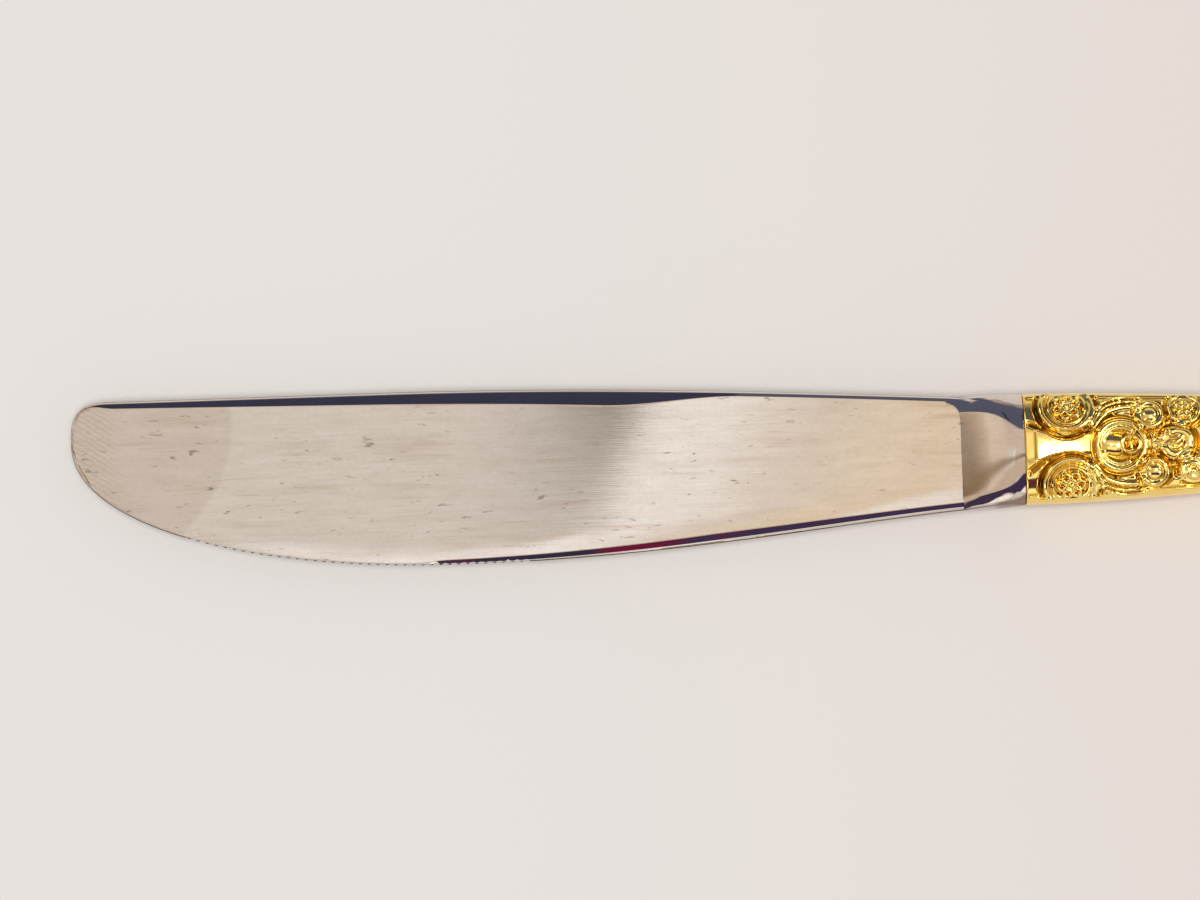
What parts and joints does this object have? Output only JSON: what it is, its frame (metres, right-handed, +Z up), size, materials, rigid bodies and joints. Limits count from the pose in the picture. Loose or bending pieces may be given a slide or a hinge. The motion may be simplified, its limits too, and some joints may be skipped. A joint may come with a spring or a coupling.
{
  "type": "table knife",
  "caption": "Table knife with a round-nosed serrated steel blade, a forged bolster and a hollow gold-plated handle with raised scrolls and rosettes",
  "frame": {"origin": "middle of the foot of the knife's box, with the knife lying on its back shell", "axes": "+X from the nose of the blade to the butt of the handle, +Y from the cutting edge to the back, +Z up out of the front face"},
  "size_m": [0.219, 0.0219, 0.0101],
  "materials": {
    "blade_steel": "satin",
    "gold_plate": "polished",
    "seam_solder": "satin",
    "cement": "matte"
  },
  "bodies": {
    "root": {"blade": "blade_steel", "handle_front_shell": "gold_plate", "handle_back_shell": "gold_plate", "handle_seam_solder": "seam_solder", "handle_cement_core": "cement"}
  },
  "joints": []
}
